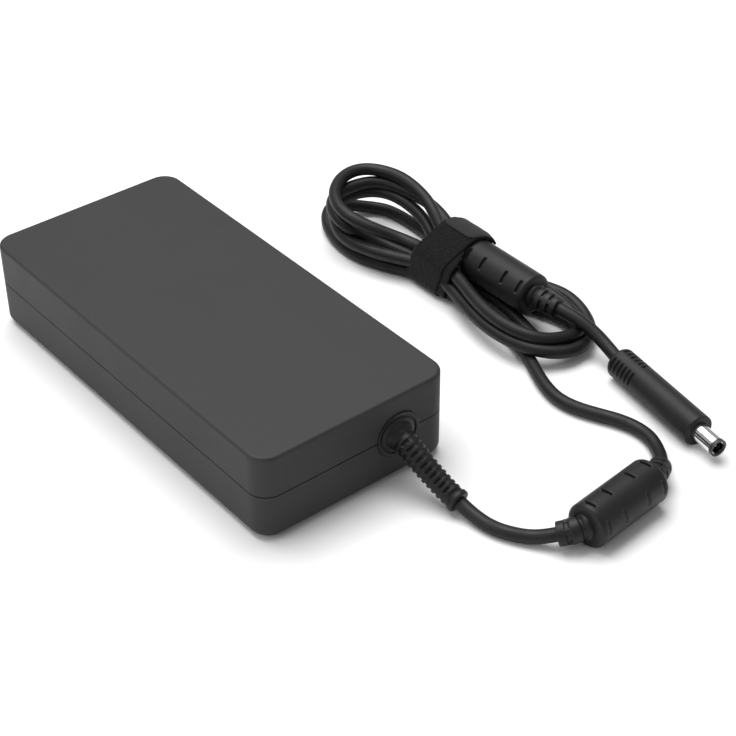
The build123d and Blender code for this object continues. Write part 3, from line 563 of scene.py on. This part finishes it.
def tab_half_width(left):
    """Half the free end's width where so much of its length is left, with rounded corners."""
    half = STRAP_WIDTH / 2 - 1.0
    if left < TAB_CORNER:
        half -= TAB_CORNER - math.sqrt(max(0.0, TAB_CORNER ** 2 - (TAB_CORNER - left) ** 2))
    return half


def sheet_faces(steps, columns):
    """Faces of a closed sheet: two grids of vertices, the outer first, joined round their edges."""
    row = columns + 1
    under = (steps + 1) * row
    faces = []
    for i in range(steps):
        for j in range(columns):
            a, b = i * row + j, (i + 1) * row + j
            faces.append((a, a + 1, b + 1, b))
            faces.append((under + a, under + b, under + b + 1, under + a + 1))
    for i in range(steps):
        a, b = i * row, (i + 1) * row
        faces.append((a, b, under + b, under + a))
        a, b = a + columns, b + columns
        faces.append((b, a, under + a, under + b))
    for j in range(columns):
        faces.append((j + 1, j, under + j, under + j + 1))
        a = steps * row + j
        faces.append((a, a + 1, under + a + 1, under + a))
    return faces


def make_tab():
    """Free end of the tape, with rounded corners and an uneven woven edge."""
    x, z, r = STRAP_CORE[0]
    inner = r + STRAP_T + TAB_GAP
    first, last = (math.radians(angle) for angle in TAB_ANGLES)
    reach = (last - first) * inner
    steps, columns = 90, 60
    vertices, cloth = [], []
    for side in (1, 0):
        for i in range(steps + 1):
            share = i / steps
            turn = first + (last - first) * share
            skew = TAB_SKEW * (1 - share)
            half = tab_half_width(reach * (1 - share))
            for j in range(columns + 1):
                across = (2 * j / columns - 1) * half
                edge = abs(2 * j / columns - 1)
                thread = 0.035 * math.sin(across * 7.0) * math.sin(turn * inner * 6.0)
                lift = TAB_T * side + (thread - 0.16 * smoothstep(0.95, 1.0, edge)) * (2 * side - 1)
                radius = inner + lift + 0.1 * ruffle(turn * 3, across / 4, 0, 1.0, 7.0) * side
                past = skew - across - STRAP_WIDTH / 2 + 3.0
                radius -= TAB_DROOP * smoothstep(0.0, 5.0, past)
                pz = z + radius * math.sin(turn)
                y = STRAP_BASE_Y + STRAP_LEAN * pz + across - skew
                vertices.append((x + radius * math.cos(turn), y, pz))
                cloth.append((turn * inner * MM, across * MM))
    tab = add_mesh("strap_free_end_tape", vertices, sheet_faces(steps, columns))
    uv = tab.data.uv_layers.new(name="Cloth")
    for loop in tab.data.loops:
        uv.data[loop.index].uv = cloth[loop.vertex_index]
    return tab


BAND = make_band()
TAB = make_tab()


# ---- materials ----
class Shade:
    """A material built from noise fields in the part's own coordinates, in metres."""

    def __init__(self, name, coordinates="Object"):
        self.material = bpy.data.materials.new(name)
        self.material.use_nodes = True
        self.tree = self.material.node_tree
        self.shader = self.tree.nodes["Principled BSDF"]
        self.place = self.node("ShaderNodeTexCoord").outputs[coordinates]
        self.height = None

    def node(self, kind, links=(), **settings):
        """A node with its settings made and its inputs linked or set."""
        made = self.tree.nodes.new(kind)
        for key, value in settings.items():
            setattr(made, key, value)
        for key, value in dict(links).items():
            if hasattr(value, "links"):
                self.tree.links.new(value, made.inputs[key])
            else:
                made.inputs[key].default_value = value
        return made

    def stretched(self, scale):
        """The coordinates with each axis scaled."""
        return self.node("ShaderNodeMapping", {"Vector": self.place, "Scale": scale}).outputs["Vector"]

    def noise(self, scale, detail=3.0, rough=0.5, place=None, distortion=0.0):
        """Noise from 0 to 1."""
        links = {"Vector": place or self.place, "Scale": scale, "Detail": detail}
        links.update({"Roughness": rough, "Distortion": distortion})
        return self.node("ShaderNodeTexNoise", links).outputs["Fac"]

    def cells(self, scale):
        """Distance field of small cells."""
        return self.node("ShaderNodeTexVoronoi", {"Vector": self.place, "Scale": scale}).outputs["Distance"]

    def waves(self, scale, direction, distortion=0.0):
        """Parallel bands."""
        links = {"Vector": self.place, "Scale": scale, "Distortion": distortion}
        return self.node("ShaderNodeTexWave", links, bands_direction=direction).outputs["Fac"]

    def spread(self, value, low, high, to_low=0.0, to_high=1.0):
        """A value's range, stretched and clamped."""
        links = {"Value": value, "From Min": low, "From Max": high, "To Min": to_low, "To Max": to_high}
        return self.node("ShaderNodeMapRange", links, clamp=True).outputs["Result"]

    def sum(self, kind, first, second):
        """Two values through one arithmetic operation."""
        made = self.node("ShaderNodeMath", operation=kind)
        for i, value in enumerate((first, second)):
            if hasattr(value, "links"):
                self.tree.links.new(value, made.inputs[i])
            else:
                made.inputs[i].default_value = value
        return made.outputs[0]

    def blend(self, share, first, second):
        """One colour into another."""
        made = self.node("ShaderNodeMix", data_type="RGBA")
        for socket, value in ((made.inputs[0], share), (made.inputs[6], first), (made.inputs[7], second)):
            if hasattr(value, "links"):
                self.tree.links.new(value, socket)
            else:
                socket.default_value = value if isinstance(value, float) else (*value[:3], 1.0)
        return made.outputs[2]

    def edges(self, radius):
        """1 along edges sharper than a radius, in metres."""
        soft = self.node("ShaderNodeBevel", {"Radius": radius}, samples=6).outputs["Normal"]
        hard = self.node("ShaderNodeNewGeometry").outputs["Normal"]
        made = self.node("ShaderNodeVectorMath", operation="DOT_PRODUCT")
        self.tree.links.new(soft, made.inputs[0])
        self.tree.links.new(hard, made.inputs[1])
        return self.spread(made.outputs["Value"], 0.995, 0.86)

    def bump(self, height, depth, strength=1.0):
        """Adds relief of a depth in metres."""
        links = {"Height": height, "Distance": depth, "Strength": strength}
        if self.height is not None:
            links["Normal"] = self.height
        self.height = self.node("ShaderNodeBump", links).outputs["Normal"]

    def done(self, colour, rough, **sockets):
        """Links what was built to the shader."""
        inputs = self.shader.inputs
        for name, value in (("Base Color", colour), ("Roughness", rough)):
            if hasattr(value, "links"):
                self.tree.links.new(value, inputs[name])
            else:
                inputs[name].default_value = value
        if self.height is not None:
            self.tree.links.new(self.height, inputs["Normal"])
        for name, value in sockets.items():
            inputs[name.replace("_", " ")].default_value = value
        return self.material


def moulded(name, dark, light, rough, grain, depth, wear, **sockets):
    """Moulded plastic, rubber or resin: cloudy colour, fine grain, and edges worn if there is wear."""
    shade = Shade(name)
    cloud = shade.noise(70.0, 4.0, 0.6)
    fine = shade.noise(grain, 2.0, 0.6)
    share = shade.sum("ADD", shade.sum("MULTIPLY", cloud, 0.6), shade.sum("MULTIPLY", fine, 0.4))
    colour = shade.blend(shade.spread(share, 0.3, 0.7), dark, light)
    if wear:
        scuffs = shade.spread(shade.noise(260.0), 0.35, 0.65, 0.2, wear)
        worn = shade.sum("MULTIPLY", shade.edges(0.0006), scuffs)
        colour = shade.blend(worn, colour, tuple(min(1.0, 2.2 * v + 0.02) for v in light))
    smudge = shade.noise(45.0, 5.0, 0.65, distortion=0.6)
    finish = shade.spread(smudge, 0.3, 0.7, rough[0], rough[1])
    shade.bump(fine, depth)
    return shade.done(colour, finish, **sockets)


def metal(name, dark, light, rough, stretch=(900.0, 60.0, 900.0), depth=0.000006):
    """Metal with fine drawn lines and faint stains."""
    shade = Shade(name)
    lines = shade.noise(1.0, 3.0, 0.6, place=shade.stretched(stretch))
    stain = shade.noise(90.0, 4.0, 0.6)
    colour = shade.blend(shade.spread(stain, 0.3, 0.75), dark, light)
    finish = shade.spread(shade.sum("ADD", lines, stain), 0.6, 1.4, rough[0], rough[1])
    shade.bump(lines, depth)
    return shade.done(colour, finish, Metallic=1.0)


def grey(value, tint=(1.0, 1.0, 1.0)):
    """A colour from its lightness and a tint."""
    return tuple(value * t for t in tint)


SEAM_Z = 20.8             # parting line of the case


def case_shade():
    """Charcoal plastic with a fine spark-eroded texture, scuffed edges and painted shade along the parting
    line.
    """
    shade = Shade("case_plastic")
    grain = shade.noise(2600.0, 3.0, 0.62)
    pits = shade.cells(1500.0)
    cloud = shade.noise(38.0, 5.0, 0.6, distortion=0.4)
    tint = (1, 1, 1.01)
    base = shade.blend(shade.spread(cloud, 0.3, 0.7), grey(0.021, tint), grey(0.026, tint))
    speck = shade.spread(grain, 0.35, 0.7)
    base = shade.blend(shade.sum("MULTIPLY", speck, 0.5), base, grey(0.05))
    scuffs = shade.spread(shade.noise(190.0, 4.0), 0.4, 0.7, 0.08, 0.45)
    worn = shade.sum("MULTIPLY", shade.edges(0.0007), scuffs)
    base = shade.blend(worn, base, grey(0.09))
    # painted shade: the colour goes near black within about half a millimetre of the parting line's height,
    # standing in for the shadow in its groove
    height = shade.node("ShaderNodeSeparateXYZ", {"Vector": shade.place}).outputs["Z"]
    level = shade.sum("ABSOLUTE", shade.sum("SUBTRACT", height, SEAM_Z * MM), 0.0)
    base = shade.blend(shade.spread(level, 0.0002, 0.00045), grey(0.004), base)
    finish = shade.spread(shade.sum("ADD", cloud, grain), 0.7, 1.3, 0.5, 0.64)
    shade.bump(shade.sum("ADD", grain, pits), 0.00005, 0.7)
    return shade.done(base, finish, Specular_IOR_Level=0.25)


def jacket_shade():
    """Satin black cord jacket with faint handling marks."""
    shade = Shade("cord_jacket")
    cloud = shade.noise(55.0, 5.0, 0.62)
    colour = shade.blend(shade.spread(cloud, 0.3, 0.7), grey(0.006), grey(0.011))
    smear = shade.noise(160.0, 4.0, 0.6, distortion=0.5)
    finish = shade.spread(smear, 0.3, 0.7, 0.42, 0.54)
    shade.bump(shade.noise(230.0, 3.0, 0.55), 0.00012, 0.6)
    shade.bump(shade.noise(2200.0, 2.0), 0.00001)
    return shade.done(colour, finish, Specular_IOR_Level=0.27)


def pile_shade():
    """Loop side of the tape: a dark tangle of fibres."""
    shade = Shade("strap_fabric")
    tangle = shade.noise(1100.0, 4.0, 0.75, distortion=0.4)
    loops = shade.cells(900.0)
    patch = shade.noise(120.0, 3.0)
    share = shade.spread(shade.sum("ADD", tangle, shade.sum("MULTIPLY", loops, 0.5)), 0.45, 1.05)
    colour = shade.blend(share, grey(0.002), grey(0.013))
    colour = shade.blend(shade.spread(patch, 0.35, 0.7, 0.0, 0.4), colour, grey(0.008))
    shade.bump(shade.sum("ADD", tangle, loops), 0.00022, 0.8)
    return shade.done(colour, 0.95, Sheen_Weight=0.12, Sheen_Roughness=0.4, Specular_IOR_Level=0.15)


def weave_shade():
    """Back of the tape: a close plain weave."""
    shade = Shade("strap_tab_fabric", "UV")
    warp = shade.waves(300.0, "X")
    weft = shade.waves(300.0, "Y")
    check = shade.sum("MULTIPLY", warp, weft)
    fuzz = shade.noise(2400.0, 3.0, 0.7)
    share = shade.spread(shade.sum("ADD", check, shade.sum("MULTIPLY", fuzz, 0.6)), 0.2, 1.1)
    colour = shade.blend(share, grey(0.008), grey(0.042))
    shade.bump(check, 0.0002, 0.8)
    shade.bump(fuzz, 0.0001, 0.6)
    return shade.done(colour, 0.9, Sheen_Weight=0.1, Specular_IOR_Level=0.2)


def board_shade():
    """Green solder mask with tracks and pads under it."""
    shade = Shade("circuit_board")
    tracks = shade.node("ShaderNodeTexBrick", {"Vector": shade.place, "Scale": 90.0}).outputs["Fac"]
    pads = shade.spread(shade.cells(240.0), 0.22, 0.18)
    colour = shade.blend(tracks, grey(0.03, (1.0, 4.6, 1.8)), grey(0.05, (1.0, 5.6, 2.0)))
    colour = shade.blend(pads, colour, (0.62, 0.6, 0.55))
    shade.bump(tracks, 0.00003)
    return shade.done(colour, 0.35)


def wound_shade():
    """Turns of enamelled wire."""
    shade = Shade("copper_wire")
    turns = shade.waves(260.0, "DIAGONAL", 0.6)
    stain = shade.noise(140.0, 3.0)
    colour = shade.blend(shade.spread(stain, 0.3, 0.7), (0.5, 0.17, 0.06), (0.72, 0.3, 0.12))
    colour = shade.blend(shade.spread(turns, 0.2, 0.0), colour, (0.12, 0.04, 0.02))
    shade.bump(turns, 0.0003)
    return shade.done(colour, 0.3, Metallic=0.85)


def taped_shade():
    """Polyester tape in overlapping turns."""
    shade = Shade("yellow_tape")
    laps = shade.waves(36.0, "Z", 0.4)
    stain = shade.noise(110.0, 4.0)
    colour = shade.blend(shade.spread(stain, 0.3, 0.7), (0.62, 0.48, 0.1), (0.8, 0.66, 0.2))
    shade.bump(laps, 0.0002)
    return shade.done(colour, 0.3)


BLACKS = ("relief_plastic", "bead_plastic", "plug_plastic", "foot_rubber", "inlet_plastic")
SATIN, GLOSSY = 0.27, 0.5         # specular levels of the blacks and of the rest


def wire(dark, light):
    """What moulded() needs for a wire's insulation."""
    return (dark, light, (0.35, 0.45), 500.0, 0.00002, 0.0)


def slot_shades():
    """One finished material for each of the record's slots."""
    made = {
        "case_plastic": case_shade(),
        "cord_jacket": jacket_shade(),
        "strap_fabric": pile_shade(),
        "strap_tab_fabric": weave_shade(),
        "circuit_board": board_shade(),
        "copper_wire": wound_shade(),
        "yellow_tape": taped_shade(),
    }
    mouldings = {
        "foot_rubber": (grey(0.02), grey(0.035), (0.7, 0.85), 1400.0, 0.00004, 0.2),
        "label_film": (grey(0.045), grey(0.055), (0.4, 0.5), 700.0, 0.00001, 0.0),
        "inlet_plastic": (grey(0.016), grey(0.024), (0.42, 0.52), 1600.0, 0.00002, 0.4),
        "wire_brown": wire((0.2, 0.08, 0.035), (0.26, 0.11, 0.05)),
        "wire_blue": wire((0.04, 0.13, 0.45), (0.06, 0.17, 0.52)),
        "wire_green": wire((0.2, 0.45, 0.06), (0.28, 0.52, 0.09)),
        "wire_red": wire((0.5, 0.03, 0.025), (0.58, 0.05, 0.035)),
        "wire_black": wire(grey(0.015), grey(0.024)),
        "ceramic": (grey(0.72, (1, 0.97, 0.9)), grey(0.82, (1, 0.98, 0.92)), (0.4, 0.55), 900.0, 3e-5, 0.0),
        "blue_resin": ((0.04, 0.12, 0.38), (0.07, 0.18, 0.48), (0.18, 0.3), 200.0, 0.00008, 0.0),
        "yellow_box": ((0.66, 0.5, 0.08), (0.78, 0.62, 0.13), (0.3, 0.42), 800.0, 0.00002, 0.0),
        "black_resin": (grey(0.016), grey(0.026), (0.38, 0.5), 1800.0, 0.00002, 0.3),
        "thermal_pad": ((0.38, 0.43, 0.52), (0.47, 0.52, 0.61), (0.6, 0.75), 900.0, 0.00005, 0.0),
        "insulation_film": (grey(0.68), grey(0.76), (0.3, 0.42), 120.0, 0.00006, 0.0),
        "relief_plastic": (grey(0.006), grey(0.011), (0.4, 0.5), 1800.0, 0.00002, 0.35),
        "bead_plastic": (grey(0.008), grey(0.014), (0.42, 0.52), 2100.0, 0.00003, 0.35),
        "plug_plastic": (grey(0.008), grey(0.014), (0.42, 0.52), 2100.0, 0.00003, 0.35),
    }
    for slot, (dark, light, rough, grain, depth, wear) in mouldings.items():
        shine = SATIN if slot in BLACKS else GLOSSY
        made[slot] = moulded(slot, dark, light, rough, grain, depth, wear, Specular_IOR_Level=shine)
    made["plated_brass"] = metal("plated_brass", (0.62, 0.6, 0.54), (0.76, 0.74, 0.68), (0.2, 0.32))
    made["screw_steel"] = metal("screw_steel", grey(0.5), grey(0.64), (0.25, 0.4))
    made["ferrite"] = metal("ferrite", grey(0.05), grey(0.09), (0.5, 0.65), (700.0, 700.0, 700.0), 0.00003)
    can_dark, can_light = grey(0.24, (1, 1, 1.15)), grey(0.34, (1, 1, 1.1))
    made["capacitor_can"] = metal("capacitor_can", can_dark, can_light, (0.3, 0.42))
    made["heatsink_aluminium"] = metal("heatsink_aluminium", grey(0.62), grey(0.74), (0.28, 0.42))
    made["chrome_plate"] = metal("chrome_plate", grey(0.8), grey(0.9), (0.1, 0.2), (500.0,) * 3, 0.000002)
    return made


SHADES = slot_shades()


def dress(piece, slot):
    """Gives a piece its slot's material."""
    piece.data.materials.clear()
    piece.data.materials.append(SHADES[slot])


for row in frame["record"]["subparts"]:
    dress(NODES[row["node"]], row["material_slot"])

# ---- what stands for what ----
PIECES = (
    (CORD, "adapter", "cord_jacket", ("cord_lead", "cord_hank", "cord_tail")),
    (RELIEF, "adapter", "relief_plastic", ("dc_strain_relief",)),
    (BEAD_1, "adapter", "bead_plastic", ("bead_1_cover",)),
    (BEAD_2, "adapter", "bead_plastic", ("bead_2_cover",)),
    (PLUG, "adapter", "plug_plastic", ("plug_body",)),
    (BAND, "adapter", "strap_fabric", ("strap_band",)),
    (TAB, "strap_free_end", "strap_tab_fabric", ("strap_tab",)),
)
for piece, body, slot, nodes in PIECES:
    dress(piece, slot)
    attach(piece, body)
    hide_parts(*nodes)

ON_CORD = [RELIEF, BEAD_1, BEAD_2, PLUG, BAND, TAB]
ON_CORD += [NODES[n] for n in ("bead_1_core", "bead_2_core", "plug_barrel")]
ON_CORD += [NODES[n] for n in ("plug_insulator", "plug_inner_sleeve", "plug_centre_pin")]


# ---- floor and light ----
FLOOR_HALF = 6.0
WORLD_STRENGTH = 0.38
LIGHT_TARGET = (0.04, -0.03, 0.0)


def make_floor():
    """A plain pale floor, larger than any view of the part."""
    mesh = bpy.data.meshes.new("floor")
    corners = [(x * FLOOR_HALF, y * FLOOR_HALF, 0) for x, y in ((-1, -1), (1, -1), (1, 1), (-1, 1))]
    mesh.from_pydata(corners, [], [(0, 1, 2, 3)])
    floor = bpy.data.objects.new("floor", mesh)
    SCENE.collection.objects.link(floor)
    shade = Shade("floor_paper")
    cloud = shade.noise(3.0, 2.0)
    colour = shade.blend(shade.spread(cloud, 0.2, 0.8), grey(0.86), grey(0.88))
    floor.data.materials.append(shade.done(colour, 0.85, Specular_IOR_Level=0.1))


def make_light(name, place, size, power):
    """A large soft box that faces the part, with its size in metres and its power in watts."""
    data = bpy.data.lights.new(name, "AREA")
    data.shape = "RECTANGLE"
    data.size, data.size_y = size
    data.energy = power
    light = bpy.data.objects.new(name, data)
    SCENE.collection.objects.link(light)
    light.location = place
    light.rotation_euler = (Vector(LIGHT_TARGET) - Vector(place)).to_track_quat("-Z", "Y").to_euler()


def make_world():
    """Even pale surroundings."""
    world = bpy.data.worlds.new("surroundings")
    world.use_nodes = True
    back = world.node_tree.nodes["Background"]
    back.inputs["Color"].default_value = (1.0, 1.0, 1.0, 1.0)
    back.inputs["Strength"].default_value = WORLD_STRENGTH
    SCENE.world = world


make_floor()
make_world()
make_light("top_box", (0.1, 0.35, 1.3), (1.3, 1.0), 24.0)
make_light("left_box", (-1.2, 0.2, 0.75), (1.0, 1.0), 5.0)
SCENE.view_settings.view_transform = "Standard"
